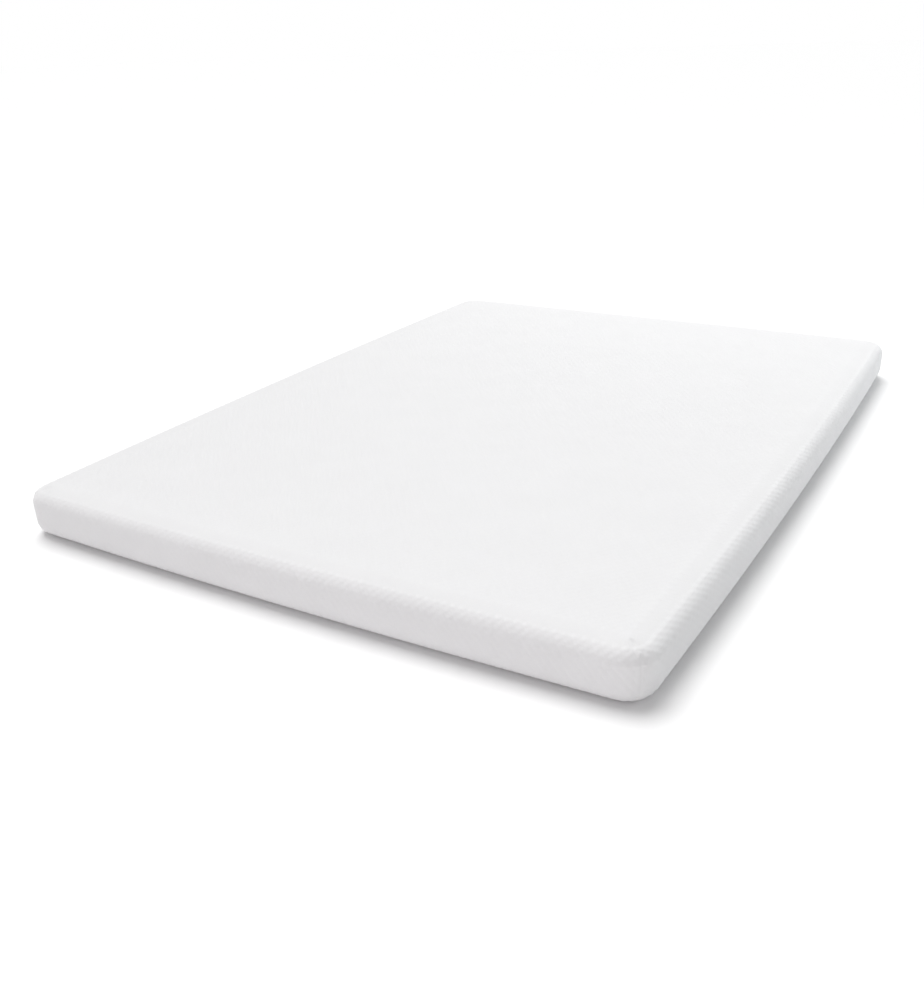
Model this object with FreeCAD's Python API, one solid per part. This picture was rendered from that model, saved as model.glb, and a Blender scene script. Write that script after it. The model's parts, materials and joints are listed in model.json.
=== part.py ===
"""Memory foam mattress: two bonded foam layers in a sock liner and a removable zipped knit cover.

Frame: X along the mattress with the foot end at -X and the zipped head end at +X, Y across it,
Z up. The origin is under the middle of the mattress, on the surface that it lies on. Millimetres.
"""
import FreeCAD, Part
import math
import os
from FreeCAD import Vector

# Whole mattress
LENGTH = 2000.0
WIDTH = 1500.0
HEIGHT = 104.0
END_BOW = 14.0            # how far the middle of an end stands out past its corners
SIDE_BOW = 14.0           # the same on a long side
CORNER_RADIUS = 64.0      # in plan
TOP_ROUND = 28.0          # where the top rolls over into the sides
BOTTOM_ROUND = 32.0       # where the sides roll under

# Cover
COVER_THICKNESS = 3.0
SEAM_WIDTH = 2.0          # a sewn seam, drawn up between two panels
BASE_SEAM_INSET = 34.0    # the base panel starts this far in from the edge of the mattress
SEAM_LIFT = 0.3           # seams and label on the underside are drawn up by this much
LABEL_SIZE = (60.0, 40.0, 0.4)
LABEL_GAP = 60.0          # from the base seam at the head end to the label

# Inside the cover
LINER_THICKNESS = 1.0
FIT_GAP = 0.5             # a loose fit: cover to liner, and liner to foam
MEMORY_FOAM = 30.0
GLUE_FILM = 0.5

# Zip along the head end
CHAIN_HEIGHT = 50.0       # of the zip's centre line over the underside
CHAIN_HALF = 590.0        # half the length of the row of teeth
CHAIN_GAP = 1.2           # between the two rows, which the slider's neck runs in
COIL_WIDTH = 2.5
COIL_DEPTH = 2.2
STOP_LENGTH = 3.0
STOP_GAP = 0.3
SLOT_HALF_HEIGHT = 6.5    # the opening in the cover that shows the teeth
SLOT_END = 7.0            # the opening runs on past the stops by this much
TAPE_HALF_WIDTH = 15.0
TAPE_THICKNESS = 0.8
TAPE_END = 8.0            # the tape runs on past the opening by this much
STITCH_OFFSET = 9.5       # the row of stitches from the zip's centre line
STITCH_WIDTH = 0.6
STITCH_DEPTH = 0.4
COIL_ROUND = 0.4          # of the coil's depth, along its back
STOP_ROUND = 0.2          # of the coil's depth, on the moulded stops
ZIP_ROOM = 2.0            # the liner and foam stand back here for the slider's lower plate

# Slider and pull tab
PLATE_LENGTH = 13.0
PLATE_MOUTH = 10.4        # width where the teeth run in
PLATE_TAIL = 8.8
PLATE_THICKNESS = 1.2
PLATE_CLEARANCE = 0.4
FLANGE_THICKNESS = 0.8
FLANGE_DEPTH = 2.1
NECK_WIDTH = 0.8
NECK_LENGTH = 2.4
CROWN_LENGTH = 9.2
CROWN_WIDTH = 2.0
CROWN_POST = 1.5
CROWN_OPENING = 1.7       # the height under the crown that the pull tab's pin turns in
CROWN_BAR = 1.2
CROWN_ROUND = 1.0         # at the two ends of the crown's back
PIN_RADIUS = 0.7
PIN_CLEARANCE = 0.15
TAB_LENGTH = 30.0
TAB_WIDTH = 7.0
TAB_THICKNESS = 1.2
TAB_TIP_RADIUS = 2.8
EYE_WIDTH = 3.0
EYE_LENGTH = 6.4
TAB_HOLE_RADIUS = 1.6

# Worked out from the values above
CROWN_RISE = PLATE_CLEARANCE + PLATE_THICKNESS + CROWN_OPENING + CROWN_BAR
HEAD_WALL = LENGTH / 2 - CROWN_RISE      # X of the cover's outer face along the zip
CORNER_X = LENGTH / 2 - END_BOW
CORNER_Y = WIDTH / 2 - SIDE_BOW
SLOT_HALF = CHAIN_HALF + STOP_GAP + STOP_LENGTH + SLOT_END
TAPE_HALF = SLOT_HALF + TAPE_END
TAPE_BACK = HEAD_WALL - COVER_THICKNESS
TAPE_FRONT = TAPE_BACK + TAPE_THICKNESS
LINER_INSET = COVER_THICKNESS + FIT_GAP
FOAM_INSET = LINER_INSET + LINER_THICKNESS + FIT_GAP
SLIDER_Y = CHAIN_HALF - PLATE_LENGTH / 2  # the slider's middle with the zip closed
PLATE_FACE = HEAD_WALL + PLATE_CLEARANCE + PLATE_THICKNESS
PIN_X = PLATE_FACE + PIN_CLEARANCE + PIN_RADIUS
THROUGH = 50.0            # how far a cutting solid runs on past what it cuts
TOUCH = 0.001             # how close an edge has to lie to count as on a plane


def save(shape, node):
    """Writes one sub-part to its own STEP file."""
    shape.exportStep("parts/" + node + ".step")


def slab(x_span, y_span, z_span):
    """An upright box between two limits on each axis."""
    size = [span[1] - span[0] for span in (x_span, y_span, z_span)]
    return Part.makeBox(*size, Vector(x_span[0], y_span[0], z_span[0]))


def mirrored(shape):
    """The same shape on the other side of the zip's centre line."""
    return shape.mirror(Vector(0, 0, CHAIN_HEIGHT), Vector(0, 0, 1))


def arc(start, middle, end):
    """An edge through three points."""
    return Part.Arc(start, middle, end).toShape()


def outline(inset, z, zip_room=0.0):
    """The plan outline with sharp corners at height z, inset from the cover's outer face.

    The foot end and both long sides are bowed. The head end is straight along the zip and
    eases back to the corners.
    """
    x = CORNER_X - inset
    y = CORNER_Y - inset
    head = HEAD_WALL - inset - zip_room
    foot = LENGTH / 2 - inset
    side = WIDTH / 2 - inset
    rise = head - x
    run = y - TAPE_HALF
    radius = (run * run + rise * rise) / (2 * abs(rise))
    half_turn = math.asin(run / radius) / 2
    ease_x = head - math.copysign(radius * (1 - math.cos(half_turn)), rise)
    ease_y = TAPE_HALF + radius * math.sin(half_turn)
    back_left = Vector(x, y, z)
    back_right = Vector(x, -y, z)
    front_left = Vector(-x, y, z)
    front_right = Vector(-x, -y, z)
    zip_left = Vector(head, TAPE_HALF, z)
    zip_right = Vector(head, -TAPE_HALF, z)
    return Part.Wire([
        arc(back_left, Vector(0, side, z), front_left),
        arc(front_left, Vector(-foot, 0, z), front_right),
        arc(front_right, Vector(0, -side, z), back_right),
        arc(back_right, Vector(ease_x, -ease_y, z), zip_right),
        Part.makeLine(zip_right, zip_left),
        arc(zip_left, Vector(ease_x, ease_y, z), back_left),
    ])


def column(inset, z_low, z_high, zip_room=0.0):
    """The plan shape as an upright solid, with its four corners rounded."""
    face = Part.Face(outline(inset, z_low, zip_room))
    solid = face.extrude(Vector(0, 0, z_high - z_low))
    corners = [
        edge
        for edge in solid.Edges
        if abs(abs(edge.CenterOfMass.x) - (CORNER_X - inset)) < TOUCH
        and abs(abs(edge.CenterOfMass.y) - (CORNER_Y - inset)) < TOUCH
    ]
    return solid.makeFillet(CORNER_RADIUS - inset, corners)


def edges_at(solid, z):
    """The edges of a solid that lie flat at height z."""
    return [
        edge
        for edge in solid.Edges
        if edge.BoundBox.ZMin > z - TOUCH and edge.BoundBox.ZMax < z + TOUCH
    ]


def pillow(inset, zip_room=0.0):
    """The whole mattress shape with its top and bottom edges rolled, inset all round."""
    solid = column(inset, inset, HEIGHT - inset, zip_room)
    solid = solid.makeFillet(TOP_ROUND - inset, edges_at(solid, HEIGHT - inset))
    return solid.makeFillet(BOTTOM_ROUND - inset, edges_at(solid, inset))


def foam_layer(z_low, z_high):
    """One layer of the foam block, cut from the shape that the liner holds."""
    room = slab((-LENGTH, LENGTH), (-WIDTH, WIDTH), (z_low, z_high))
    return pillow(FOAM_INSET, ZIP_ROOM).common(room)


def corner_slab(side_x, side_y):
    """A thin upright slab along the diagonal of one corner, from where its edge starts to roll."""
    centre = Vector(CORNER_X - CORNER_RADIUS, CORNER_Y - CORNER_RADIUS, -THROUGH)
    start = CORNER_RADIUS - TOP_ROUND
    strip = Part.makeBox(CORNER_RADIUS * 2, SEAM_WIDTH, HEIGHT + 2 * THROUGH)
    strip.translate(Vector(start, -SEAM_WIDTH / 2, 0))
    strip.rotate(Vector(0, 0, 0), Vector(0, 0, 1), 45)
    strip.translate(centre)
    if side_x < 0:
        strip = strip.mirror(Vector(0, 0, 0), Vector(1, 0, 0))
    if side_y < 0:
        strip = strip.mirror(Vector(0, 0, 0), Vector(0, 1, 0))
    return strip


def stitch_frame():
    """The row of stitches round the zip's opening, let into the face of the cover."""
    depth = (HEAD_WALL - STITCH_DEPTH, HEAD_WALL)
    half_length = SLOT_HALF + STITCH_OFFSET - SLOT_HALF_HEIGHT
    rings = [
        slab(
            depth,
            (-half_length - grow, half_length + grow),
            (CHAIN_HEIGHT - STITCH_OFFSET - grow, CHAIN_HEIGHT + STITCH_OFFSET + grow),
        )
        for grow in (STITCH_WIDTH / 2, -STITCH_WIDTH / 2)
    ]
    return rings[0].cut(rings[1])


def zip_tape():
    """The upper tape, sewn behind the opening with its inner edge along the teeth."""
    return slab(
        (TAPE_BACK, TAPE_FRONT),
        (-TAPE_HALF, TAPE_HALF),
        (CHAIN_HEIGHT + CHAIN_GAP / 2, CHAIN_HEIGHT + TAPE_HALF_WIDTH),
    )


def zip_coil():
    """The upper row of teeth, a round-backed bar on the face of its tape."""
    low = CHAIN_HEIGHT + CHAIN_GAP / 2
    bar = slab((TAPE_FRONT, TAPE_FRONT + COIL_DEPTH), (-CHAIN_HALF, CHAIN_HALF), (low, low + COIL_WIDTH))
    outer = [
        edge
        for edge in bar.Edges
        if edge.Length > CHAIN_HALF and edge.CenterOfMass.x > TAPE_FRONT + COIL_DEPTH / 2
    ]
    return bar.makeFillet(COIL_DEPTH * COIL_ROUND, outer)


def stop_block(y_low, z_low, z_high):
    """A moulded stop on the face of the tapes."""
    block = slab((TAPE_FRONT, TAPE_FRONT + COIL_DEPTH), (y_low, y_low + STOP_LENGTH), (z_low, z_high))
    return block.makeFillet(COIL_DEPTH * STOP_ROUND, edges_facing_out(block))


def edges_facing_out(block):
    """The four edges of the face of a block that looks towards +X."""
    face = block.BoundBox.XMax
    return [edge for edge in block.Edges if edge.BoundBox.XMin > face - TOUCH]


def plate_outline(x, shrink):
    """The slider's outline at depth x: wide at the mouth, narrower at the tail."""
    half = PLATE_LENGTH / 2
    mouth = PLATE_MOUTH / 2 - shrink
    tail = PLATE_TAIL / 2 - shrink
    points = [(-half, -tail), (0, -mouth), (half, -mouth), (half, mouth), (0, mouth), (-half, tail)]
    corners = [Vector(x, SLIDER_Y + y, CHAIN_HEIGHT + z) for y, z in points]
    return Part.Face(Part.makePolygon(corners + corners[:1]))


def slider():
    """Two plates joined by a neck, side flanges on the upper plate, and the crown over it."""
    lower_face = TAPE_BACK - PLATE_CLEARANCE - PLATE_THICKNESS
    upper_low = HEAD_WALL + PLATE_CLEARANCE
    lower = plate_outline(lower_face, 0).extrude(Vector(PLATE_THICKNESS, 0, 0))
    upper = plate_outline(upper_low, 0).extrude(Vector(PLATE_THICKNESS, 0, 0))
    rim = plate_outline(upper_low - FLANGE_DEPTH, 0).extrude(Vector(FLANGE_DEPTH, 0, 0))
    core = plate_outline(upper_low - FLANGE_DEPTH, FLANGE_THICKNESS).extrude(Vector(FLANGE_DEPTH, 0, 0))
    neck_y = SLIDER_Y + PLATE_LENGTH / 2 - NECK_LENGTH
    neck = slab(
        (lower_face, PLATE_FACE),
        (neck_y, neck_y + NECK_LENGTH),
        (CHAIN_HEIGHT - NECK_WIDTH / 2, CHAIN_HEIGHT + NECK_WIDTH / 2),
    )
    width = (CHAIN_HEIGHT - CROWN_WIDTH / 2, CHAIN_HEIGHT + CROWN_WIDTH / 2)
    crown = slab(
        (PLATE_FACE, PLATE_FACE + CROWN_OPENING + CROWN_BAR),
        (SLIDER_Y - CROWN_LENGTH / 2, SLIDER_Y + CROWN_LENGTH / 2),
        width,
    )
    ends = [edge for edge in edges_facing_out(crown) if edge.Length < CROWN_LENGTH / 2]
    crown = crown.makeFillet(CROWN_ROUND, ends)
    reach = CROWN_LENGTH / 2 - CROWN_POST
    opening = slab((PLATE_FACE, PLATE_FACE + CROWN_OPENING), (SLIDER_Y - reach, SLIDER_Y + reach), width)
    return upper.fuse([lower, rim.cut(core), neck, crown.cut(opening)]).removeSplitter()


def pull_tab():
    """The tab lying back along the teeth, with its pin under the crown."""
    back = PIN_X - TAB_THICKNESS / 2
    front = back + TAB_THICKNESS
    end = SLIDER_Y - TAB_LENGTH
    blade = slab(
        (back, front),
        (end, SLIDER_Y),
        (CHAIN_HEIGHT - TAB_WIDTH / 2, CHAIN_HEIGHT + TAB_WIDTH / 2),
    )
    tip = [
        edge
        for edge in blade.Edges
        if edge.BoundBox.YMax < end + TOUCH and edge.Length < TAB_WIDTH / 2
    ]
    blade = blade.makeFillet(TAB_TIP_RADIUS, tip)
    eye = slab(
        (back - THROUGH, front + THROUGH),
        (SLIDER_Y - EYE_LENGTH, SLIDER_Y + THROUGH),
        (CHAIN_HEIGHT - EYE_WIDTH / 2, CHAIN_HEIGHT + EYE_WIDTH / 2),
    )
    hole_at = Vector(back, end + TAB_WIDTH / 2, CHAIN_HEIGHT)
    hole = Part.makeCylinder(TAB_HOLE_RADIUS, TAB_THICKNESS, hole_at, Vector(1, 0, 0))
    pin_at = Vector(PIN_X, SLIDER_Y, CHAIN_HEIGHT - TAB_WIDTH / 2)
    pin = Part.makeCylinder(PIN_RADIUS, TAB_WIDTH, pin_at, Vector(0, 0, 1))
    return blade.cut(eye).cut(hole).fuse(pin)


os.makedirs("parts", exist_ok=True)

# Foam and liner
core_top = HEIGHT - FOAM_INSET - MEMORY_FOAM - GLUE_FILM
save(foam_layer(FOAM_INSET, core_top), "support_foam_core")
save(foam_layer(core_top, core_top + GLUE_FILM), "glue_film")
save(foam_layer(core_top + GLUE_FILM, HEIGHT - FOAM_INSET), "memory_foam_layer")
liner_outside = pillow(LINER_INSET, ZIP_ROOM)
liner_inside = pillow(LINER_INSET + LINER_THICKNESS, ZIP_ROOM)
save(liner_outside.cut(liner_inside), "inner_liner")

# Cover: the shell is cut into the top with its sides, the base panel and the seams between them
shell = pillow(0).cut(pillow(COVER_THICKNESS))
inside_seam = column(BASE_SEAM_INSET + SEAM_WIDTH, 0, COVER_THICKNESS)
to_seam = column(BASE_SEAM_INSET, 0, COVER_THICKNESS)
label_x = CORNER_X - BASE_SEAM_INSET - LABEL_GAP
label = slab(
    (label_x - LABEL_SIZE[0], label_x),
    (-LABEL_SIZE[1] / 2, LABEL_SIZE[1] / 2),
    (SEAM_LIFT, SEAM_LIFT + LABEL_SIZE[2]),
)
label_bed = label.fuse(label.translated(Vector(0, 0, -SEAM_LIFT)))
seam_ring = to_seam.cut(inside_seam)
drawn_up = slab((-LENGTH, LENGTH), (-WIDTH, WIDTH), (SEAM_LIFT, HEIGHT))
save(inside_seam.cut(label_bed), "cover_base_panel")
save(label, "care_label")
save(seam_ring.common(drawn_up), "base_seam")

sides = shell.cut(to_seam)
corners = {
    "corner_seam_foot_left": (-1, 1),
    "corner_seam_foot_right": (-1, -1),
    "corner_seam_head_left": (1, 1),
    "corner_seam_head_right": (1, -1),
}
for node, (side_x, side_y) in corners.items():
    strip = corner_slab(side_x, side_y)
    save(sides.common(strip), node)
    sides = sides.cut(strip)

slot = slab(
    (TAPE_BACK - ZIP_ROOM, HEAD_WALL + THROUGH),
    (-SLOT_HALF, SLOT_HALF),
    (CHAIN_HEIGHT - SLOT_HALF_HEIGHT, CHAIN_HEIGHT + SLOT_HALF_HEIGHT),
)
tape_bed = slab(
    (TAPE_BACK, TAPE_FRONT),
    (-TAPE_HALF, TAPE_HALF),
    (CHAIN_HEIGHT - TAPE_HALF_WIDTH, CHAIN_HEIGHT + TAPE_HALF_WIDTH),
)
save(sides.cut(slot).cut(tape_bed).cut(stitch_frame()), "cover_top_and_sides")
save(stitch_frame(), "zip_stitching")

# Zip
save(zip_tape(), "zip_tape_upper")
save(mirrored(zip_tape()), "zip_tape_lower")
save(zip_coil(), "zip_coil_upper")
save(mirrored(zip_coil()), "zip_coil_lower")
stop_low = CHAIN_HEIGHT + CHAIN_GAP / 2
stop_high = stop_low + COIL_WIDTH
top_stop = stop_block(CHAIN_HALF + STOP_GAP, stop_low, stop_high)
save(Part.makeCompound([top_stop, mirrored(top_stop)]), "zip_top_stops")
bottom_stop_y = -CHAIN_HALF - STOP_GAP - STOP_LENGTH
save(stop_block(bottom_stop_y, 2 * CHAIN_HEIGHT - stop_high, stop_high), "zip_bottom_stop")
save(slider(), "zip_slider")
save(pull_tab(), "zip_pull_tab")
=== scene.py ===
"""The looks of the memory foam mattress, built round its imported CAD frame. Metres, Z up."""

import json
import math

import bmesh
import bpy
import numpy as np
from mathutils import Matrix, Vector


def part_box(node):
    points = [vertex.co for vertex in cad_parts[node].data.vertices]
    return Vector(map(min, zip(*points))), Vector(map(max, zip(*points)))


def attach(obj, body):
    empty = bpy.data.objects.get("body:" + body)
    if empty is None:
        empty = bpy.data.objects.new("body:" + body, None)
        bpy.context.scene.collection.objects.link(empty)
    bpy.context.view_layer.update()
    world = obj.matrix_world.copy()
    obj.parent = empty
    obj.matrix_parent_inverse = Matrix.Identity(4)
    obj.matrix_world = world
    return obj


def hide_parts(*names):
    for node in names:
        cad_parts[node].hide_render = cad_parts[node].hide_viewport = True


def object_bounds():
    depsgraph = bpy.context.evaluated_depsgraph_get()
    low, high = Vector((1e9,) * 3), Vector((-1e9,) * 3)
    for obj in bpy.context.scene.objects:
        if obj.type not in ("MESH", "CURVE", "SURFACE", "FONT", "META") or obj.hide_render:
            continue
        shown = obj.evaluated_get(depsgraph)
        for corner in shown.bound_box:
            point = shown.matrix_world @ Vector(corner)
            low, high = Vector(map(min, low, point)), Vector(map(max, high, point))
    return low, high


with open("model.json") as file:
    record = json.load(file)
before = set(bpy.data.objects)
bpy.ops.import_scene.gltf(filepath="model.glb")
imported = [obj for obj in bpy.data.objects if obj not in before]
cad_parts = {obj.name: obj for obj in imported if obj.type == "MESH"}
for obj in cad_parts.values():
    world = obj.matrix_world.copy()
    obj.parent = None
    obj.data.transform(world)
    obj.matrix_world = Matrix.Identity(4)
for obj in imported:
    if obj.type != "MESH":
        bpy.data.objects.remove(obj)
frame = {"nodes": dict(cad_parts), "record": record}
cad_low, cad_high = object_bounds()

# Sizes read from the frame
HALF_LENGTH = -cad_low.x
HALF_WIDTH = cad_high.y
HEIGHT = cad_high.z
HEAD_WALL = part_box("cover_top_and_sides")[1].x
TAPE_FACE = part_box("zip_tape_upper")[1].x
TAPE_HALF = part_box("zip_tape_upper")[1].y
TEETH_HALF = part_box("zip_coil_upper")[1].y
TEETH_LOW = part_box("zip_coil_upper")[0].z
TEETH_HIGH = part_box("zip_coil_upper")[1].z
TEETH_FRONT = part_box("zip_coil_upper")[1].x
STITCH_LOW, STITCH_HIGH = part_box("zip_stitching")
ZIP_HEIGHT = (STITCH_LOW.z + STITCH_HIGH.z) / 2
PANEL_LOW, PANEL_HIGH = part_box("cover_base_panel")
SEAM_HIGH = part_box("base_seam")[1]
LABEL_LOW, LABEL_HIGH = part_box("care_label")
LINER_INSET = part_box("inner_liner")[0].x + HALF_LENGTH
ZIP_ROOM = HEAD_WALL - LINER_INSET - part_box("inner_liner")[1].x

# Shape of the mattress
END_BOW = 0.014
SIDE_BOW = 0.014
CORNER_RADIUS = 0.058
TOP_ROUND = 0.028
BOTTOM_ROUND = 0.031
CORNER_X = HALF_LENGTH - END_BOW
CORNER_Y = HALF_WIDTH - SIDE_BOW
INNER_X = CORNER_X - CORNER_RADIUS
INNER_Y = CORNER_Y - CORNER_RADIUS
SLOT_HALF_HEIGHT = 0.0065
SLOT_HALF = TAPE_HALF - 0.008     # the tape runs on past the opening
SEAM_INSET = HALF_WIDTH - SEAM_HIGH.y
PANEL_INSET = HALF_WIDTH - PANEL_HIGH.y
COARSE_STEP = 0.014        # of the cover's net, before it is subdivided
SUBDIVISIONS = 2
FOAM_STEP = 0.05
FOAM_EDGE = 0.001          # how sharply the cut edges of the foam turn

# The cover's cloth as it swells
FOAM_GRIP = 0.25           # how firmly the foam holds it, where 1 is fixed
SWELL = 0.0012             # how far below the top the net starts, as room to swell
MOST_SWELL = 0.004         # the most that any point of it may move

# The knit
CELL_LENGTH = 0.021        # of a diamond, along the mattress
CELL_WIDTH = 0.0173        # across it
RELIEF = 0.0010            # from the groove to the top of a diamond
WALE = 0.0013              # one column of knit loops
COURSE = 0.0010            # one row of knit loops

# The dart that shapes each corner, along its diagonal
DART_START = CORNER_RADIUS - TOP_ROUND * 0.35
DART_DEPTH = 0.0006
DART_KNOT = 0.0014         # the gathered cloth at its upper end
PUCKER = 0.0004

# The underside
PANEL_STEP = 0.020
PANEL_ROWS = (0.004, 0.010, 0.014)     # how far out from the grid the panel's rows stand
GATHER = 0.034             # one ripple of the panel along its seam
WELT_RADIUS = 0.0012
OVERLOCK_PITCH = 0.0045
OVERLOCK_HALF = 0.0012     # half of what one stitch covers along the welt
LABEL_HEM = 0.0045

# Sewing and zip: each row of stitches has its stitch and its gap
STITCH_RADIUS = 0.00028
ZIP_STITCH = (0.0026, 0.0008)
CORNER_STITCH = (0.0024, 0.0009)
CORNER_STITCH_START = 0.024     # down the cloth from the first row of the cover's side
LABEL_STITCH = (0.0020, 0.0008)
COIL_WIRE = 0.00033        # radius of the nylon that the teeth are wound from
COIL_PITCH = 0.0015


# ---------------------------------------------------------------- materials


class Finish:
    """A Principled material that is built up node by node."""

    def __init__(self, name, colour, roughness, **sockets):
        self.material = bpy.data.materials.new(name)
        self.material.use_nodes = True
        self.tree = self.material.node_tree
        self.surface = self.tree.nodes["Principled BSDF"]
        self.surface.inputs["Base Color"].default_value = (*colour, 1)
        self.surface.inputs["Roughness"].default_value = roughness
        for socket, value in sockets.items():
            self.surface.inputs[socket.replace("_", " ")].default_value = value

    def put(self, socket, value):
        """Links a node's output to an input, or sets the input's own value."""
        if isinstance(value, bpy.types.NodeSocket):
            self.tree.links.new(value, socket)
        else:
            socket.default_value = value

    def node(self, kind, *values, **settings):
        """Adds a node, sets it up and feeds its first inputs."""
        made = self.tree.nodes.new(kind)
        for name, value in settings.items():
            setattr(made, name, value)
        for socket, value in zip(made.inputs, values):
            if value is not None:
                self.put(socket, value)
        return made

    def maths(self, operation, *values):
        return self.node("ShaderNodeMath", *values, operation=operation).outputs[0]

    def place(self, uv=None):
        """Coordinates in metres: the object's own, or those of a named UV layer."""
        if uv:
            return self.node("ShaderNodeUVMap", uv_map=uv).outputs[0]
        return self.node("ShaderNodeTexCoord").outputs["Object"]

    def noise(self, place, scale, detail=3.0, roughness=0.5):
        made = self.node("ShaderNodeTexNoise")
        self.put(made.inputs["Vector"], place)
        made.inputs["Scale"].default_value = scale
        made.inputs["Detail"].default_value = detail
        made.inputs["Roughness"].default_value = roughness
        return made.outputs[0]

    def wave(self, along, period, shift=0.0):
        """A cosine of that period in metres, from 0 to 1."""
        turns = self.maths("MULTIPLY", along, 2 * math.pi / period)
        turned = self.maths("ADD", turns, shift)
        return self.maths("MULTIPLY_ADD", self.maths("COSINE", turned), 0.5, 0.5)

    def spread(self, value, low, high):
        """A 0 to 1 value stretched to run from low to high."""
        return self.maths("MULTIPLY_ADD", value, high - low, low)

    def shade(self, value, dark, light):
        """A colour between two, by a 0 to 1 value."""
        mix = self.node("ShaderNodeMix", data_type="RGBA")
        self.put(mix.inputs["Factor"], value)
        mix.inputs["A"].default_value = (*dark, 1)
        mix.inputs["B"].default_value = (*light, 1)
        return mix.outputs["Result"]

    def colour(self, value):
        self.put(self.surface.inputs["Base Color"], value)

    def roughness(self, value):
        self.put(self.surface.inputs["Roughness"], value)

    def bump(self, height, distance, strength=1.0):
        made = self.node("ShaderNodeBump")
        made.inputs["Strength"].default_value = strength
        made.inputs["Distance"].default_value = distance
        self.put(made.inputs["Height"], height)
        self.put(self.surface.inputs["Normal"], made.outputs[0])


def knit_loops(finish, across, along, wale, course):
    """Height of a plain knit: columns of V-shaped loops, from 0 to 1."""
    column = finish.wave(across, wale)
    off_middle = finish.maths("ABSOLUTE", finish.maths("SUBTRACT", column, 0.5))
    lean = finish.maths("MULTIPLY", off_middle, math.pi)
    rows = finish.maths("MULTIPLY", along, 2 * math.pi / course)
    loops = finish.maths("MULTIPLY_ADD", finish.maths("COSINE", finish.maths("ADD", rows, lean)), 0.5, 0.5)
    return finish.maths("MULTIPLY", finish.spread(column, 0.35, 1.0), finish.spread(loops, 0.5, 1.0))


def cover_knit():
    """White jacquard knit: loops, soft fuzz, and a faint change of tone from yarn to yarn; the loops'
    height also darkens the colour in the grooves between them, as painted shade.
    """
    finish = Finish(
        "cover_knit", (0.86, 0.86, 0.86), 0.9,
        Sheen_Weight=0.25, Sheen_Roughness=0.6, Specular_IOR_Level=0.25,
    )
    place = finish.place("fabric")
    parts = finish.node("ShaderNodeSeparateXYZ", place)
    loops = knit_loops(finish, parts.outputs[1], parts.outputs[0], WALE, COURSE)
    fuzz = finish.noise(place, 2500, 4)
    cloudy = finish.noise(place, 9, 3)
    yarn = finish.noise(place, 320, 2)
    tone = finish.maths("MULTIPLY_ADD", cloudy, 0.35, finish.maths("MULTIPLY", yarn, 0.35))
    # painted shade: the knit loops' height darkens the colour in the grooves between the loops
    tone = finish.maths("MULTIPLY_ADD", loops, 0.3, tone)
    finish.colour(finish.shade(tone, (0.745, 0.745, 0.75), (0.835, 0.835, 0.84)))
    finish.roughness(finish.spread(fuzz, 0.82, 0.98))
    finish.bump(finish.maths("MULTIPLY_ADD", fuzz, 0.35, loops), 0.0004, 0.6)
    return finish.material


def woven(name, dark, light, pitch, plane, roughness=0.85, relief=0.0002, **sockets):
    """A plain weave whose threads run along the two given axes of the object."""
    finish = Finish(name, light, roughness, **sockets)
    place = finish.place()
    parts = finish.node("ShaderNodeSeparateXYZ", place)
    warp = finish.wave(parts.outputs[plane[0]], pitch)
    weft = finish.wave(parts.outputs[plane[1]], pitch, math.pi / 2)
    cloth = finish.maths("MULTIPLY_ADD", warp, 0.5, finish.maths("MULTIPLY", weft, 0.5))
    fuzz = finish.noise(place, 1800, 3)
    tone = finish.maths("MULTIPLY_ADD", cloth, 0.6, finish.maths("MULTIPLY", fuzz, 0.4))
    finish.colour(finish.shade(tone, dark, light))
    finish.roughness(finish.spread(fuzz, roughness - 0.08, roughness + 0.08))
    finish.bump(tone, relief, 0.8)
    return finish.material


def foam(name, dark, light, cell):
    """Open-cell foam: pores of about one cell, and a slow drift of tone."""
    finish = Finish(name, light, 0.95, Specular_IOR_Level=0.2)
    place = finish.place()
    pores = finish.node("ShaderNodeTexVoronoi")
    finish.put(pores.inputs["Vector"], place)
    pores.inputs["Scale"].default_value = 1 / cell
    drift = finish.noise(place, 6, 2)
    tone = finish.maths("MULTIPLY_ADD", pores.outputs[0], 0.7, finish.maths("MULTIPLY", drift, 0.3))
    finish.colour(finish.shade(tone, dark, light))
    finish.roughness(finish.spread(drift, 0.9, 1.0))
    finish.bump(pores.outputs[0], cell / 2, 0.7)
    return finish.material


def thread(name, dark, light):
    """Twisted sewing thread."""
    finish = Finish(name, light, 0.6, Sheen_Weight=0.2)
    place = finish.place()
    parts = finish.node("ShaderNodeSeparateXYZ", place)
    slant = finish.maths("ADD", finish.maths("ADD", parts.outputs[0], parts.outputs[1]), parts.outputs[2])
    ply = finish.wave(slant, 0.0006)
    finish.colour(finish.shade(ply, dark, light))
    finish.roughness(finish.spread(finish.noise(place, 900), 0.5, 0.75))
    finish.bump(ply, 0.0001, 0.7)
    return finish.material


def nylon():
    """Moulded and coiled nylon of the zip's teeth and stops."""
    finish = Finish("zip_nylon", (0.86, 0.86, 0.85), 0.4, Subsurface_Weight=0.1, Subsurface_Scale=0.001)
    grain = finish.noise(finish.place(), 700, 3)
    finish.colour(finish.shade(grain, (0.78, 0.78, 0.77), (0.88, 0.88, 0.87)))
    finish.roughness(finish.spread(grain, 0.32, 0.5))
    finish.bump(grain, 0.00005, 0.4)
    return finish.material


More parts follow.
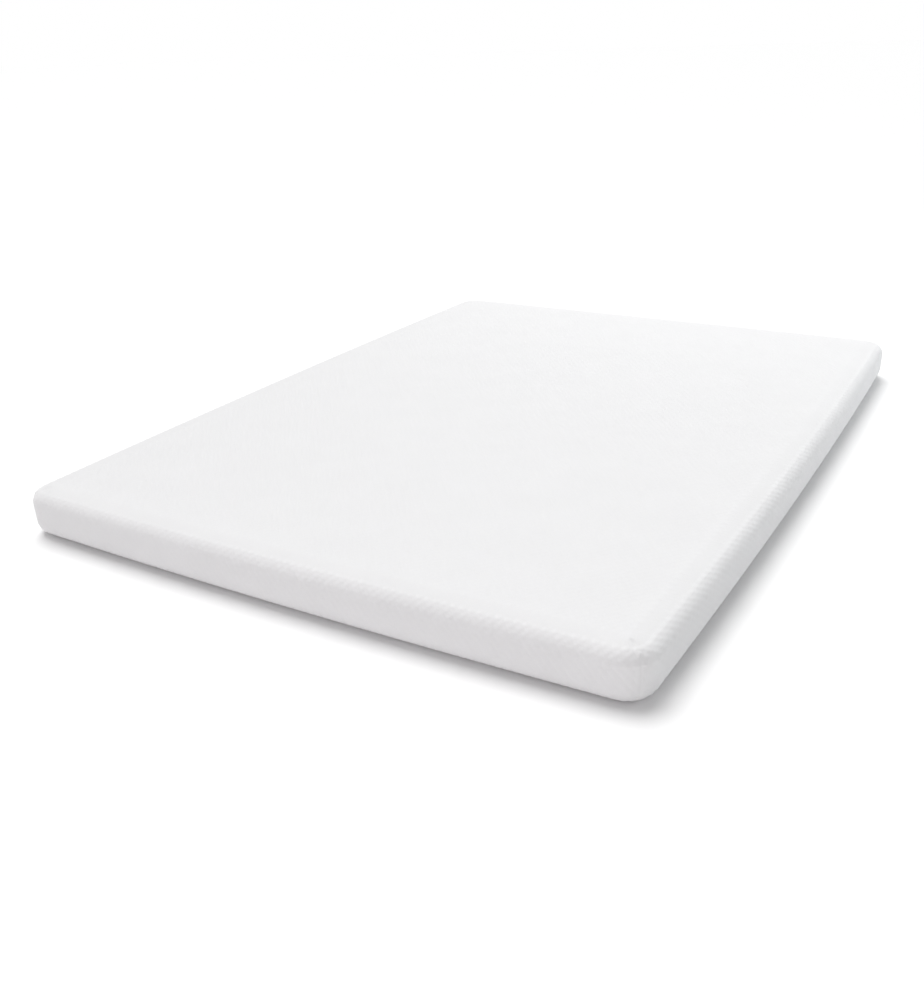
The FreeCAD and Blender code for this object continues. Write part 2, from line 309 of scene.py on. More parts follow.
def lacquered_zinc():
    """Die-cast zinc under white lacquer, worn to the metal along the sharp edges."""
    finish = Finish("zip_lacquer", (0.84, 0.84, 0.83), 0.35, Coat_Weight=0.3, Coat_Roughness=0.2)
    place = finish.place()
    grain = finish.noise(place, 500, 4)
    edges = finish.node("ShaderNodeNewGeometry").outputs["Pointiness"]
    worn = finish.maths("MULTIPLY", finish.maths("SUBTRACT", edges, 0.53), 9.0)
    worn = finish.maths("MULTIPLY", worn, finish.spread(grain, 0.4, 1.4))
    worn = finish.node("ShaderNodeClamp", worn).outputs[0]
    finish.colour(finish.shade(worn, (0.84, 0.84, 0.83), (0.62, 0.61, 0.60)))
    finish.roughness(finish.spread(grain, 0.28, 0.45))
    finish.put(finish.surface.inputs["Metallic"], worn)
    finish.bump(grain, 0.00004, 0.3)
    return finish.material


# ---------------------------------------------------------------- meshes


def mesh_object(name, points, faces):
    """A new smooth-shaded object."""
    mesh = bpy.data.meshes.new(name)
    mesh.from_pydata([tuple(map(float, p)) for p in points], [], faces)
    mesh.validate()
    mesh.shade_smooth()
    made = bpy.data.objects.new(name, mesh)
    bpy.context.scene.collection.objects.link(made)
    return made


def corners_of(obj):
    """The mesh's vertex positions as an array."""
    points = np.empty(len(obj.data.vertices) * 3)
    obj.data.vertices.foreach_get("co", points)
    return points.reshape(-1, 3)


def move_corners(obj, points):
    obj.data.vertices.foreach_set("co", np.ascontiguousarray(points, float).ravel())
    obj.data.update()


def as_rendered(obj):
    """Bakes the object's modifiers into its mesh."""
    graph = bpy.context.evaluated_depsgraph_get()
    mesh = bpy.data.meshes.new_from_object(obj.evaluated_get(graph))
    obj.modifiers.clear()
    obj.data = mesh
    return obj


def spaced(stops, step):
    """Positions about a step apart from the first stop to the last, with one on every stop."""
    runs = []
    for start, end in zip(stops, stops[1:]):
        count = max(1, round(abs(end - start) / step))
        runs.append(np.linspace(start, end, count + 1)[:-1])
    return np.append(np.concatenate(runs), stops[-1])


def tubes(name, centres, normals, radius, sides=6):
    """Round bars, one for each row of centres, closed at both ends."""
    ahead = np.gradient(centres, axis=1)
    across = np.cross(ahead, normals)
    across /= np.linalg.norm(across, axis=-1, keepdims=True)
    up = np.cross(across, ahead)
    up /= np.linalg.norm(up, axis=-1, keepdims=True)
    turns = np.linspace(0, 2 * np.pi, sides, endpoint=False)[:, None]
    radius = np.broadcast_to(radius, centres.shape[:2])[:, :, None, None]
    ring = np.cos(turns) * across[:, :, None] + np.sin(turns) * up[:, :, None]
    points = centres[:, :, None] + radius * ring
    index = np.arange(points.size // 3).reshape(points.shape[:3])
    after = np.roll(index, -1, axis=2)
    walls = np.stack([index[:, :-1], index[:, 1:], after[:, 1:], after[:, :-1]], axis=-1).reshape(-1, 4)
    ends = np.concatenate([index[:, 0], index[:, -1, ::-1]])
    return mesh_object(name, points.reshape(-1, 3), walls.tolist() + ends.tolist())


def travelled(line):
    """The distance along a line to each of its points."""
    return np.concatenate([[0], np.cumsum(np.linalg.norm(np.diff(line, axis=0), axis=1))])


def along(line, values, at):
    """Values given at the points of a line, read off at distances along it."""
    where = travelled(line)
    return np.stack([np.interp(at, where, values[:, k]) for k in range(3)], axis=-1)


def stitches(name, line, out, length, gap, radius=STITCH_RADIUS):
    """A row of stitches: each comes up out of the cloth, lies along it and goes back in."""
    total = travelled(line)[-1]
    count = int(total // (length + gap))
    reach = np.linspace(-0.5, 0.5, 6)
    at = (np.arange(count)[:, None] + 0.5) * total / count + reach * length
    arch = np.sqrt(1 - (2 * reach) ** 2)
    normals = along(line, out, at)
    centres = along(line, line, at) + normals * (radius * (1.8 * arch - 1.0))[:, None]
    return tubes(name, centres, normals, radius * (0.6 + 0.4 * arch))


def on_surface(surface, line):
    """The nearest points of a surface to a line, and the way that the surface faces there."""
    hits = [surface.closest_point_on_mesh(Vector(point))[1:3] for point in line]
    return np.array([hit for hit, _ in hits]), np.array([normal for _, normal in hits])


def ring_line(inset, z, step):
    """A closed line round the mattress's plan shape, inset from its edge."""
    xs, ys = plan_grid(step)
    plan = [(x, y) for x in xs for y in ys]
    reach = CORNER_RADIUS - inset
    columns = plan_columns(xs, ys)
    line = np.array([np.add(plan[base], np.multiply(out, reach)) for base, out, _, _ in columns])
    x, y = bowed(line[:, 0], line[:, 1])
    line = np.column_stack([x, y, np.full(len(x), z)])
    return np.vstack([line, line[:1]])


def smoothed(made, levels):
    """Subdivides a piece and bakes the result into its mesh."""
    smooth = made.modifiers.new("smooth", "SUBSURF")
    smooth.levels = levels
    smooth.render_levels = levels
    smooth.uv_smooth = "NONE"
    return as_rendered(made)


def dressed(made, slot, *nodes):
    """Gives a piece its finish, and makes it stand for CAD nodes of the mattress."""
    made.data.materials.clear()
    made.data.materials.append(FINISHES[slot])
    if nodes:
        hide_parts(*nodes)
    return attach(made, "mattress")


def bowed(x, y):
    """Carries a point of the straight-sided shape out to the bowed outline."""
    ease = np.clip((np.abs(y) - TAPE_HALF) / (CORNER_Y - TAPE_HALF), 0, 1)
    head = (HEAD_WALL - CORNER_X) * (1 - ease**2)
    foot = END_BOW * np.clip(1 - (y / CORNER_Y) ** 2, 0, 1)
    side = SIDE_BOW * np.clip(1 - (x / CORNER_X) ** 2, 0, 1)
    end = np.where(x > 0, head, foot)
    return x * (1 + end / CORNER_X), y * (1 + side / CORNER_Y)


def rounded(radius, inset, height, turns, over=True):
    """Rows of (inset, height) round a rolled edge: over the top edge, or under the bottom one."""
    rows = []
    for turn in turns:
        if over:
            rows.append((inset + radius * (1 - math.sin(turn)), height - radius * (1 - math.cos(turn))))
        else:
            rows.append((inset + radius * (1 - math.cos(turn)), height + radius * (1 - math.sin(turn))))
    return rows


def plan_grid(step):
    """The stops of the grid on top of the mattress, with lines on its axes and at the zip's ends."""
    xs = spaced([-INNER_X, 0, INNER_X], step)
    ys = spaced([-INNER_Y, -SLOT_HALF, 0, SLOT_HALF, INNER_Y], step)
    return xs, ys


def plan_columns(xs, ys):
    """Where the columns of a side band stand, once round the plan grid and its four corners.

    Each is (grid point, direction out, turn within the corner or None, the corner's signs).
    """
    ny = len(ys)
    left, head = ny - 1, (len(xs) - 1) * ny
    turns = np.radians([15, 27, 36, 41.5, 45, 48.5, 54, 63, 75])
    right_angle = math.pi / 2
    columns = [(head + j, (1, 0), None, (1, 0)) for j in range(ny)]
    columns += [(head + left, (math.cos(t), math.sin(t)), t, (1, 1)) for t in turns]
    columns += [(i * ny + left, (0, 1), None, (0, 1)) for i in reversed(range(len(xs)))]
    columns += [(left, (-math.sin(t), math.cos(t)), right_angle - t, (-1, 1)) for t in turns]
    columns += [(j, (-1, 0), None, (-1, 0)) for j in reversed(range(ny))]
    columns += [(0, (-math.cos(t), -math.sin(t)), t, (-1, -1)) for t in turns]
    columns += [(i * ny, (0, -1), None, (0, -1)) for i in range(len(xs))]
    columns += [(head, (math.sin(t), -math.cos(t)), right_angle - t, (1, -1)) for t in turns]
    return columns


def net(name, rows, step, floor=False, slot=False):
    """A coarse net in the mattress's plan shape: a grid on top, and rows of a band down the sides.

    Rows are (inset, height). A floor closes it below, and a slot leaves out the zip's opening.
    Each face corner carries its place in the flat cloth, in metres, in the UV layer "fabric".
    The cloth of an end and of a side meet on the diagonal of each corner.
    """
    xs, ys = plan_grid(step)
    nx, ny = len(xs), len(ys)
    plan = [(x, y) for x in xs for y in ys]
    points = [(x, y, rows[0][1]) for x, y in plan]
    grid = [
        (i * ny + j, (i + 1) * ny + j, (i + 1) * ny + j + 1, i * ny + j + 1)
        for i in range(nx - 1)
        for j in range(ny - 1)
    ]
    faces = [(quad, [plan[k] for k in quad]) for quad in grid]

    lengths = np.concatenate([[0], np.cumsum([math.dist(a, b) for a, b in zip(rows, rows[1:])])])
    lengths += CORNER_RADIUS - rows[0][0]
    columns = plan_columns(xs, ys)
    first = len(points)
    for base, out, _, _ in columns:
        x, y = plan[base]
        for inset, z in rows:
            reach = CORNER_RADIUS - inset
            points.append((x + out[0] * reach, y + out[1] * reach, z))

    def place(column, row, end_cloth):
        """Where a point of the band lies in the cloth of its end or of its side."""
        base, _, turn, signs = columns[column]
        x, y = plan[base]
        reach, length = (CORNER_RADIUS - rows[row][0], lengths[row]) if row >= 0 else (0.0, 0.0)
        swing = 0.0
        if turn is None:
            signs = (signs[0] or math.copysign(1, x), signs[1] or math.copysign(1, y))
        else:
            swing = reach * (turn if end_cloth else math.pi / 2 - turn)
        if end_cloth:
            return x + signs[0] * length, y + signs[1] * swing
        return x + signs[0] * swing, y + signs[1] * length

    depth = len(rows)
    for c in range(len(columns)):
        d = (c + 1) % len(columns)
        at, to = columns[c][1], columns[d][1]
        end_cloth = abs(at[0] + to[0]) > abs(at[1] + to[1])
        upper = (first + c * depth, first + d * depth)
        corners = [(columns[c][0], c, -1), (upper[0], c, 0), (upper[1], d, 0), (columns[d][0], d, -1)]
        if corners[0][0] == corners[3][0]:
            corners.pop()
        bands = [corners] + [
            [
                (upper[0] + r, c, r),
                (upper[0] + r + 1, c, r + 1),
                (upper[1] + r + 1, d, r + 1),
                (upper[1] + r, d, r),
            ]
            for r in range(depth - 1)
        ]
        for band in bands:
            places = [place(column, row, end_cloth) for _, column, row in band]
            faces.append((tuple(k for k, _, _ in band), places))

    if floor:
        under = len(points)
        points += [(x, y, rows[-1][1]) for x, y in plan]
        for quad in grid:
            turned_over = quad[::-1]
            faces.append((tuple(under + k for k in turned_over), [plan[k] for k in turned_over]))
        for c in range(len(columns)):
            d = (c + 1) % len(columns)
            low = (first + c * depth + depth - 1, first + d * depth + depth - 1)
            ring = [low[0], under + columns[c][0], under + columns[d][0], low[1]]
            if ring[1] == ring[2]:
                ring.pop(2)
            faces.append((tuple(ring), [points[k][:2] for k in ring]))

    points = np.array(points)
    if slot:
        middles = np.array([points[list(quad)].mean(0) for quad, _ in faces])
        opening = (middles[:, 0] > CORNER_X - 0.002) & (np.abs(middles[:, 1]) < SLOT_HALF)
        opening &= np.abs(middles[:, 2] - ZIP_HEIGHT) < SLOT_HALF_HEIGHT / 2
        faces = [face for face, is_open in zip(faces, opening) if not is_open]
    points[:, 0], points[:, 1] = bowed(points[:, 0], points[:, 1])
    made = mesh_object(name, points, [quad for quad, _ in faces])
    layer = made.data.uv_layers.new(name="fabric")
    layer.data.foreach_set("uv", np.array([uv for _, uvs in faces for uv in uvs], float).ravel())
    return made


def cover_rows():
    """Down the side of the cover, from the flat top to the base seam."""
    rows = rounded(TOP_ROUND, 0, HEIGHT - SWELL, np.linspace(0, math.pi / 2, 8)[1:])
    rows += [(0.0, ZIP_HEIGHT + SLOT_HALF_HEIGHT), (0.0, ZIP_HEIGHT - SLOT_HALF_HEIGHT)]
    rows += rounded(BOTTOM_ROUND, 0, 0.0, np.linspace(0, math.pi / 2, 5), over=False)
    return rows + [(SEAM_INSET, 0.0)]


def inflate(cover, most):
    """Lets the cover swell over its foam as pressed cloth, held at the zip and under the base."""
    rest = corners_of(cover)
    near_zip = (rest[:, 0] > CORNER_X) & (np.abs(rest[:, 1]) < TAPE_HALF) & (rest[:, 2] < HEIGHT / 2)
    held = np.flatnonzero(near_zip | (rest[:, 2] < 0.002))
    group = cover.vertex_groups.new(name="held")
    group.add(list(range(len(rest))), FOAM_GRIP, "REPLACE")
    group.add(held.tolist(), 1.0, "REPLACE")
    cloth = cover.modifiers.new("cloth", "CLOTH")
    cloth.settings.vertex_group_mass = "held"
    cloth.settings.use_pressure = True
    cloth.settings.uniform_pressure_force = 4
    cloth.settings.effector_weights.gravity = 0
    cloth.collision_settings.use_collision = False
    scene = bpy.context.scene
    for step in range(1, 21):
        scene.frame_set(step)
    graph = bpy.context.evaluated_depsgraph_get()
    puffed = bpy.data.meshes.new_from_object(cover.evaluated_get(graph))
    moved = np.empty(len(puffed.vertices) * 3)
    puffed.vertices.foreach_get("co", moved)
    bpy.data.meshes.remove(puffed)
    cover.modifiers.clear()
    scene.frame_set(1)
    shift = moved.reshape(-1, 3) - rest
    size = np.linalg.norm(shift, axis=1, keepdims=True)
    scale = np.minimum(1.0, most / np.maximum(size, 1e-9))
    move_corners(cover, rest + shift * scale)


def seam_distance(points):
    """Distance from the nearest corner's diagonal, and how far out along it, for each point."""
    x = np.abs(points[:, 0]) - INNER_X
    y = np.abs(points[:, 1]) - INNER_Y
    out = (x + y) / math.sqrt(2)
    off = np.where((x > -0.02) & (y > -0.02), np.abs(x - y) / math.sqrt(2), 1.0)
    return off, out


def relief(points, place):
    """Height of the knit's puffed diamonds, and of the seams drawn into the corners."""
    a = place[:, 0] / (2 * CELL_LENGTH) + place[:, 1] / (2 * CELL_WIDTH)
    b = place[:, 0] / (2 * CELL_LENGTH) - place[:, 1] / (2 * CELL_WIDTH)
    puff = (np.abs(np.cos(2 * np.pi * a)) * np.abs(np.cos(2 * np.pi * b))) ** 0.7
    off, out = seam_distance(points)
    sewn = np.clip((out - DART_START) / 0.012, 0, 1)
    flat = 1 - 0.8 * sewn * np.exp(-((off / 0.005) ** 2))
    groove = -DART_DEPTH * sewn * np.exp(-((off / 0.0022) ** 2))
    pucker = PUCKER * sewn * np.cos(2 * np.pi * points[:, 2] / 0.010)
    pucker = pucker * np.exp(-off / 0.009) * (1 - np.exp(-off / 0.002))
    knot = DART_KNOT * np.exp(-(((out - DART_START) / 0.005) ** 2) - (off / 0.004) ** 2)
    knot = np.where(points[:, 2] > HEIGHT / 2, knot, 0.0)
    under = np.clip((points[:, 2] - 0.001) / 0.008, 0, 1)
    return RELIEF * (puff - 0.6) * flat * under + groove + pucker * under + knot


def fold_in(cover):
    """Turns the cloth's cut edges in: round the zip's opening and along the base seam."""
    work = bmesh.new()
    work.from_mesh(cover.data)
    cut = [edge for edge in work.edges if edge.is_boundary]
    zip_edge = [e for e in cut if e.verts[0].co.z > 0.02]
    base_edge = [e for e in cut if e.verts[0].co.z <= 0.02]

    def turned(edges, moves):
        for move in moves:
            made = bmesh.ops.extrude_edge_only(work, edges=edges)["geom"]
            fresh = [g for g in made if isinstance(g, bmesh.types.BMVert)]
            edges = [g for g in made if isinstance(g, bmesh.types.BMEdge) and g.is_boundary]
            for vert in fresh:
                move(vert)

    def into_zip(depth, inward):
        def move(vert):
            vert.co.x -= depth
            vert.co.z -= math.copysign(inward, vert.co.z - ZIP_HEIGHT)
        return move

    def up_at_base(rise):
        def move(vert):
            vert.co.z += rise
        return move

    turned(zip_edge, [into_zip(0.0003, 0.0004), into_zip(0.0008, 0.0003), into_zip(0.0012, -0.0002)])
    turned(base_edge, [up_at_base(0.0008), up_at_base(0.0022)])
    bmesh.ops.recalc_face_normals(work, faces=work.faces)
    work.to_mesh(cover.data)
    work.free()


def knit_cover():
    """The whole knit cover: coarse net, cloth, fine net, knit relief and turned edges."""
    cover = net("knit_cover", cover_rows(), COARSE_STEP, slot=True)
    inflate(cover, MOST_SWELL)
    smoothed(cover, SUBDIVISIONS)
    mesh = cover.data
    points = corners_of(cover)
    normals = np.empty(len(mesh.vertices) * 3)
    mesh.vertices.foreach_get("normal", normals)
    loops = np.empty(len(mesh.loops), int)
    mesh.loops.foreach_get("vertex_index", loops)
    uv = np.empty(len(mesh.loops) * 2)
    mesh.uv_layers["fabric"].data.foreach_get("uv", uv)
    place = np.empty((len(points), 2))
    place[loops] = uv.reshape(-1, 2)
    lift = relief(points, place)
    points += normals.reshape(-1, 3) * lift[:, None]
    points[:, 2] = np.maximum(points[:, 2], 0.0)
    move_corners(cover, points)
    fold_in(cover)
    dressed(cover, "cover_knit", "cover_top_and_sides")
    return cover


# ---------------------------------------------------------------- foam and liner


def layer_rows(inset, high, low):
    """The side of the mattress between two heights, for a layer set in from its outer face."""
    rows = rounded(TOP_ROUND - inset, inset, HEIGHT - inset, np.linspace(0, math.pi / 2, 8))
    rows += rounded(BOTTOM_ROUND - inset, inset, inset, np.linspace(0, math.pi / 2, 5), over=False)
    insets, heights = np.array(rows[::-1]).T
    ends = [(float(np.interp(z, heights, insets)), z) for z in (high, low)]
    return [ends[0]] + [row for row in rows if low < row[1] < high] + [ends[1]]


def foam_piece(node, rows):
    """One foam layer, with its cut edges kept crisp and its head end set back from the zip."""
    (top_inset, top), (low_inset, low) = rows[0], rows[-1]
    edge = min(FOAM_EDGE, (top - low) / 4)
    rows = [(top_inset + edge, top)] + rows + [(low_inset + edge, low)]
    made = smoothed(net(node + "_block", rows, FOAM_STEP, floor=True), 1)
    points = corners_of(made)
    points[:, 0] -= ZIP_ROOM * np.clip((points[:, 0] - INNER_X) / CORNER_RADIUS, 0, 1)
    move_corners(made, points)
    return made


def insides():
    """The two foam layers, the glue between them and the liner round them, inside the cover."""
    foam_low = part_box("support_foam_core")[0].z
    glue_low, glue_high = (corner.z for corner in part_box("glue_film"))
    foam_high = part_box("memory_foam_layer")[1].z
    layers = (
        ("memory_foam_layer", "memory_foam", foam_high, glue_high),
        ("glue_film", "glue", glue_high, glue_low),
        ("support_foam_core", "support_foam", glue_low, foam_low),
    )
    for node, slot, high, low in layers:
        dressed(foam_piece(node, layer_rows(foam_low, high, low)), slot, node)
    rows = layer_rows(LINER_INSET, HEIGHT - LINER_INSET, LINER_INSET)
    dressed(foam_piece("inner_liner", rows), "liner_knit", "inner_liner")


# ---------------------------------------------------------------- underside, seams and zip


def base_panel():
    """The cover's underside: flat on the floor, drawn up at its seam and over the care label."""
    z_low = PANEL_LOW.z
    rows = [(CORNER_RADIUS - step, z_low) for step in PANEL_ROWS] + [(PANEL_INSET, z_low)]
    panel = smoothed(net("base_cloth_panel", rows, PANEL_STEP), 1)
    points = corners_of(panel)
    edge = np.minimum(HALF_LENGTH - np.abs(points[:, 0]), HALF_WIDTH - np.abs(points[:, 1])) - PANEL_INSET
    ripple = np.cos(2 * np.pi * (points[:, 0] + points[:, 1]) / GATHER)
    drawn_up = np.exp(-np.maximum(edge, 0) / 0.008) * (0.0009 + 0.0003 * ripple)
    middle = (LABEL_LOW + LABEL_HIGH) / 2
    half = (LABEL_HIGH - LABEL_LOW) / 2
    past = np.maximum(np.abs(points[:, 0] - middle.x) - half.x, np.abs(points[:, 1] - middle.y) - half.y)
    over_label = (LABEL_HIGH.z + 0.0002) * np.clip(1 - (past - 0.004) / 0.016, 0, 1)
    points[:, 2] += np.maximum(drawn_up, over_label)
    move_corners(panel, points)
    panel.data.flip_normals()
    dressed(panel, "base_cloth", "cover_base_panel")


def base_seam():
    """A rolled welt between the sides and the underside, with overlock stitches across it."""
    over = WELT_RADIUS + STITCH_RADIUS * 0.6
    line = ring_line((SEAM_INSET + PANEL_INSET) / 2, over + STITCH_RADIUS, 0.008)
    up = np.tile([0.0, 0.0, 1.0], (len(line), 1))
    welt = tubes("base_welt", line[None], up[None], WELT_RADIUS, sides=8)
    dressed(welt, "cover_knit", "base_seam")
    total = travelled(line)[-1]
    middles = (np.arange(int(total // OVERLOCK_PITCH))[:, None] + 0.5) * OVERLOCK_PITCH
    at = middles + np.linspace(-OVERLOCK_HALF, OVERLOCK_HALF, 5)
    centres = along(line, line, at)
    ahead = np.gradient(centres, axis=1)
    outward = np.cross(ahead, [0, 0, 1])
    outward /= np.linalg.norm(outward, axis=-1, keepdims=True)
    turn = np.radians(np.linspace(-75, 75, 5))[:, None]
    ring = np.sin(turn) * outward - np.cos(turn) * np.array([0, 0, 1])
    overlock = tubes("base_seam_stitches", centres + over * ring, ring, STITCH_RADIUS * 0.7, sides=5)
    dressed(overlock, "seam_thread")


def corner_seams(cover):
    """Stitches down the fold where end and side cloth meet at each corner."""
    rows = cover_rows()
    reach = CORNER_RADIUS - np.array([inset for inset, _ in rows])
    heights = [z for _, z in rows]
    corners = {
        "corner_seam_foot_left": (-1, 1),
        "corner_seam_foot_right": (-1, -1),
        "corner_seam_head_left": (1, 1),
        "corner_seam_head_right": (1, -1),
    }
    for node, (side_x, side_y) in corners.items():
        x, y = bowed(side_x * (INNER_X + reach / math.sqrt(2)), side_y * (INNER_Y + reach / math.sqrt(2)))
        coarse = np.column_stack([x, y, heights])
        distance = np.linspace(CORNER_STITCH_START, travelled(coarse)[-1] - 0.002, 90)
        line, out = on_surface(cover, along(coarse, coarse, distance))
        sewn = stitches(node + "_stitches", line, out, *CORNER_STITCH, STITCH_RADIUS * 0.7)
        dressed(sewn, "seam_thread", node)


def zip_stitching(cover):
    """The row of stitches that holds the tapes, round the zip's opening."""
    half_y = STITCH_HIGH.y - STITCH_RADIUS
    half_z = (STITCH_HIGH.z - STITCH_LOW.z) / 2 - STITCH_RADIUS
    radius = 0.004
    line = []
    for quarter, (side_y, side_z) in enumerate(((1, 1), (-1, 1), (-1, -1), (1, -1))):
        for turn in np.radians(np.linspace(0, 90, 6) + 90 * quarter):
            y = side_y * (half_y - radius) + radius * math.cos(turn)
            z = side_z * (half_z - radius) + radius * math.sin(turn)
            line.append((HEAD_WALL, y, ZIP_HEIGHT + z))
    line = np.array(line + line[:1])
    fine = along(line, line, np.linspace(0, travelled(line)[-1], 1200))
    line, out = on_surface(cover, fine)
    dressed(stitches("zip_stitches", line, out, *ZIP_STITCH), "seam_thread", "zip_stitching")


def zip_coils():
    """The two rows of teeth, wound from one nylon wire each, a half turn apart."""
    for node, side, start in (("zip_coil_upper", 1, 0.0), ("zip_coil_lower", -1, math.pi)):
        turns = int(2 * TEETH_HALF / COIL_PITCH)
        phase = np.linspace(0, 2 * math.pi * turns, turns * 9 + 1)
        deep = (TEETH_FRONT - TAPE_FACE) / 2 - COIL_WIRE
        high = (TEETH_HIGH - TEETH_LOW) / 2 - COIL_WIRE
        middle = side * ((TEETH_HIGH + TEETH_LOW) / 2 - ZIP_HEIGHT)
        radial = np.column_stack([np.cos(phase + start), np.zeros(len(phase)), np.sin(phase + start)])
        centres = radial * (deep, 0, high)
        centres[:, 0] += (TEETH_FRONT + TAPE_FACE) / 2
        centres[:, 1] = np.linspace(-TEETH_HALF + COIL_WIRE, TEETH_HALF - COIL_WIRE, len(phase))
        centres[:, 2] += ZIP_HEIGHT + middle
        dressed(tubes(node + "_winding", centres[None], radial[None], COIL_WIRE), "zip_teeth", node)


def care_label():
    """A blank satin label with a hem at both ends, sewn down along them."""
    size = LABEL_HIGH - LABEL_LOW
    xs = np.linspace(LABEL_LOW.x, LABEL_HIGH.x, 61)
    ys = np.linspace(LABEL_LOW.y, LABEL_HIGH.y, 31)
    thickness = size.z / 2
    points = []
    for x in xs:
        for y in ys:
            inward = min(x - LABEL_LOW.x, LABEL_HIGH.x - x)
            fold = thickness * 0.6 * np.clip((LABEL_HEM - inward) / 0.0006, 0, 1)
            wave = 0.00004 * math.sin(x * 310) * math.cos(y * 230)
            points.append((x, y, LABEL_HIGH.z - thickness / 2 - fold + wave))
    count = len(ys)
    faces = [
        (i * count + j, i * count + j + 1, (i + 1) * count + j + 1, (i + 1) * count + j)
        for i in range(len(xs) - 1)
        for j in range(count - 1)
    ]
    label = mesh_object("blank_label", points, faces)
    solid = label.modifiers.new("thickness", "SOLIDIFY")
    solid.thickness = thickness
    solid.offset = 0
    as_rendered(label)
    dressed(label, "label", "care_label")
    for x in (LABEL_LOW.x + LABEL_HEM / 2, LABEL_HIGH.x - LABEL_HEM / 2):
        line = np.array([(x, y, LABEL_LOW.z) for y in (LABEL_LOW.y + 0.001, LABEL_HIGH.y - 0.001)])
        out = np.tile([0.0, 0.0, -1.0], (2, 1))
        side = "inner" if x < (LABEL_LOW.x + LABEL_HIGH.x) / 2 else "outer"
        sewn = stitches("label_stitches_" + side, line, out, *LABEL_STITCH, STITCH_RADIUS * 0.6)
        dressed(sewn, "seam_thread")


FINISHES = {
    "memory_foam": foam("memory_foam", (0.78, 0.76, 0.66), (0.90, 0.88, 0.80), 0.0008),
    "glue": foam("glue", (0.70, 0.68, 0.58), (0.84, 0.82, 0.74), 0.004),
    "support_foam": foam("support_foam", (0.70, 0.71, 0.69), (0.88, 0.88, 0.86), 0.0013),
    "liner_knit": woven("liner_knit", (0.74, 0.74, 0.73), (0.88, 0.88, 0.87), 0.0012, (0, 1)),
    "cover_knit": cover_knit(),
    "base_cloth": woven("base_cloth", (0.62, 0.62, 0.61), (0.80, 0.80, 0.79), 0.0016, (0, 1)),
    "seam_thread": thread("seam_thread", (0.70, 0.70, 0.69), (0.86, 0.86, 0.85)),
    "label": woven(
        "label_satin", (0.80, 0.80, 0.79), (0.90, 0.90, 0.89), 0.0005, (0, 1), roughness=0.5
    ),
    "zip_tape": woven("zip_tape", (0.72, 0.72, 0.71), (0.87, 0.87, 0.86), 0.0009, (1, 2)),
    "zip_teeth": nylon(),
    "zip_metal": lacquered_zinc(),
}

for part in frame["record"]["subparts"]:
    node = frame["nodes"][part["node"]]
    node.data.materials.clear()
    node.data.materials.append(FINISHES[part["material_slot"]])

cover = knit_cover()
insides()
base_panel()
base_seam()
corner_seams(cover)
zip_stitching(cover)
zip_coils()
care_label()

# ---------------------------------------------------------------- floor, light and camera


def floor():
    """A plain pale floor that runs well past the view."""
    material = Finish("floor", (0.96, 0.96, 0.96), 0.9, Specular_IOR_Level=0.1).material
    reach = 60.0
    below = -0.0005
    square = ((-reach, -reach), (reach, -reach), (reach, reach), (-reach, reach))
    points = [(x, y, below) for x, y in square]
    made = mesh_object("floor", points, [(0, 1, 2, 3)])
    made.data.materials.append(material)


def lamp(name, kind, at, strength, colour=(1, 1, 1), **settings):
    """A light that shines from a place towards the middle of the mattress."""
    light = bpy.data.lights.new(name, kind)
    light.energy = strength
    light.color = colour
    for setting, value in settings.items():
        setattr(light, setting, value)
    made = bpy.data.objects.new(name, light)
    made.location = at
    made.rotation_euler = Vector(at).to_track_quat("Z", "Y").to_euler()
    bpy.context.scene.collection.objects.link(made)


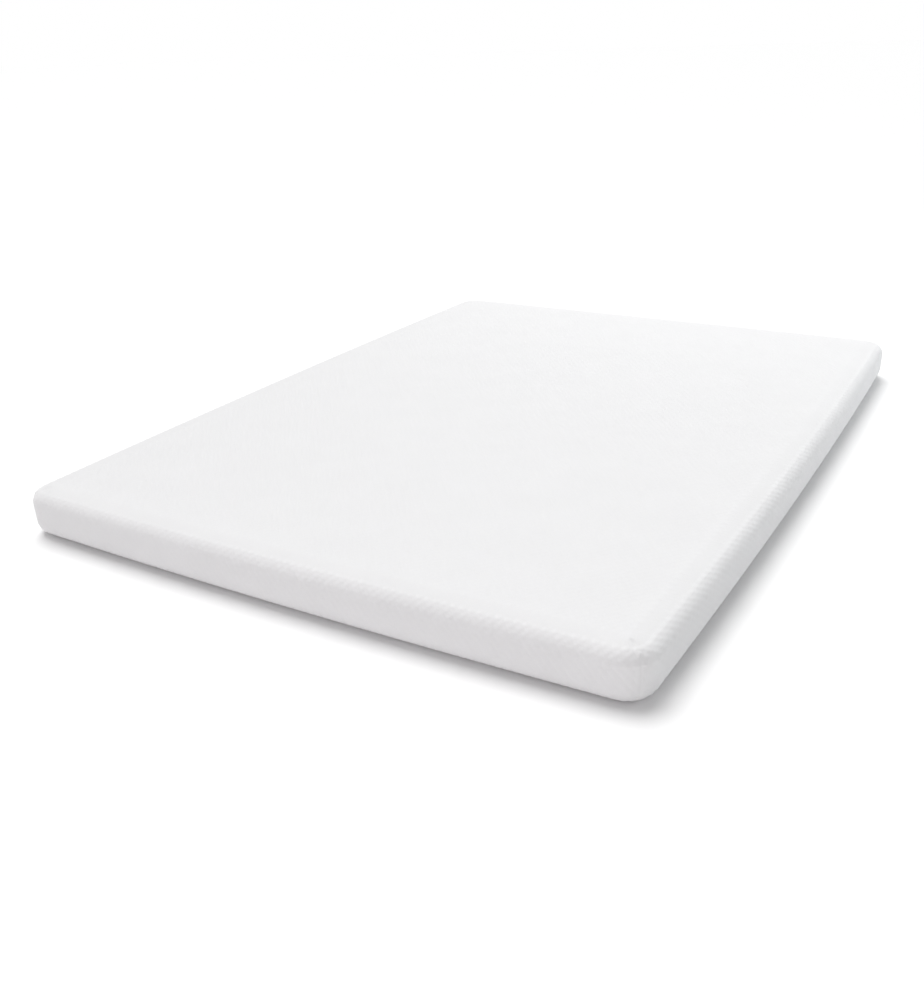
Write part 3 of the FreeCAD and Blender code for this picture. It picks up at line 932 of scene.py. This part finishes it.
def lighting():
    """A broad key from overhead, a lamp over the head end, low fills at two sides, and a white room."""
    lamp("key", "SUN", (0.27, 0.39, 1.0), 2.50, angle=math.radians(45))
    lamp("head_light", "AREA", (2.4, 0.3, 2.0), 14, size=1.5)
    lamp("foot_fill", "AREA", (-5.0, -0.6, 0.5), 58, (1.0, 0.92, 0.96), size=3.0)
    lamp("side_fill", "AREA", (2.2, -3.0, 0.6), 30, (0.92, 0.97, 1.0), size=2.0)
    world = bpy.data.worlds.new("studio")
    world.use_nodes = True
    nodes, links = world.node_tree.nodes, world.node_tree.links
    room = nodes["Background"]
    room.inputs["Color"].default_value = (1, 1, 1, 1)
    room.inputs["Strength"].default_value = 0.34
    backdrop = nodes.new("ShaderNodeBackground")
    backdrop.inputs["Color"].default_value = (1, 1, 1, 1)
    seen = nodes.new("ShaderNodeLightPath").outputs["Is Camera Ray"]
    either = nodes.new("ShaderNodeMixShader")
    links.new(seen, either.inputs[0])
    links.new(room.outputs[0], either.inputs[1])
    links.new(backdrop.outputs[0], either.inputs[2])
    links.new(either.outputs[0], nodes["World Output"].inputs["Surface"])
    bpy.context.scene.world = world
    bpy.context.scene.view_settings.view_transform = "Standard"


CAMERA_AZIMUTH = math.radians(-58.63)     # from the front (-Y), turning towards +X
CAMERA_ELEVATION = math.radians(24.30)
CAMERA_ROLL = math.radians(-2.15)
CAMERA_DISTANCE = 2.740
CAMERA_SLIDE = (-0.1563, -0.1567)         # right and up, across the line of sight
CAMERA_LENS = 37.01


def camera():
    """Looks across the mattress from above its foot end."""
    turn, rise = CAMERA_AZIMUTH, CAMERA_ELEVATION
    back = Vector((math.sin(turn) * math.cos(rise), -math.cos(turn) * math.cos(rise), math.sin(rise)))
    right = (-back).cross(Vector((0, 0, 1))).normalized()
    roll = Matrix.Rotation(CAMERA_ROLL, 3, back)
    right = roll @ right
    up = back.cross(right)
    lens = bpy.data.cameras.new("camera")
    lens.lens = CAMERA_LENS
    lens.sensor_width = 36
    made = bpy.data.objects.new("camera", lens)
    place = back * CAMERA_DISTANCE + right * CAMERA_SLIDE[0] + up * CAMERA_SLIDE[1]
    made.matrix_world = Matrix.Translation(place) @ Matrix((right, up, back)).transposed().to_4x4()
    bpy.context.scene.collection.objects.link(made)
    bpy.context.scene.camera = made


floor()
lighting()
camera()
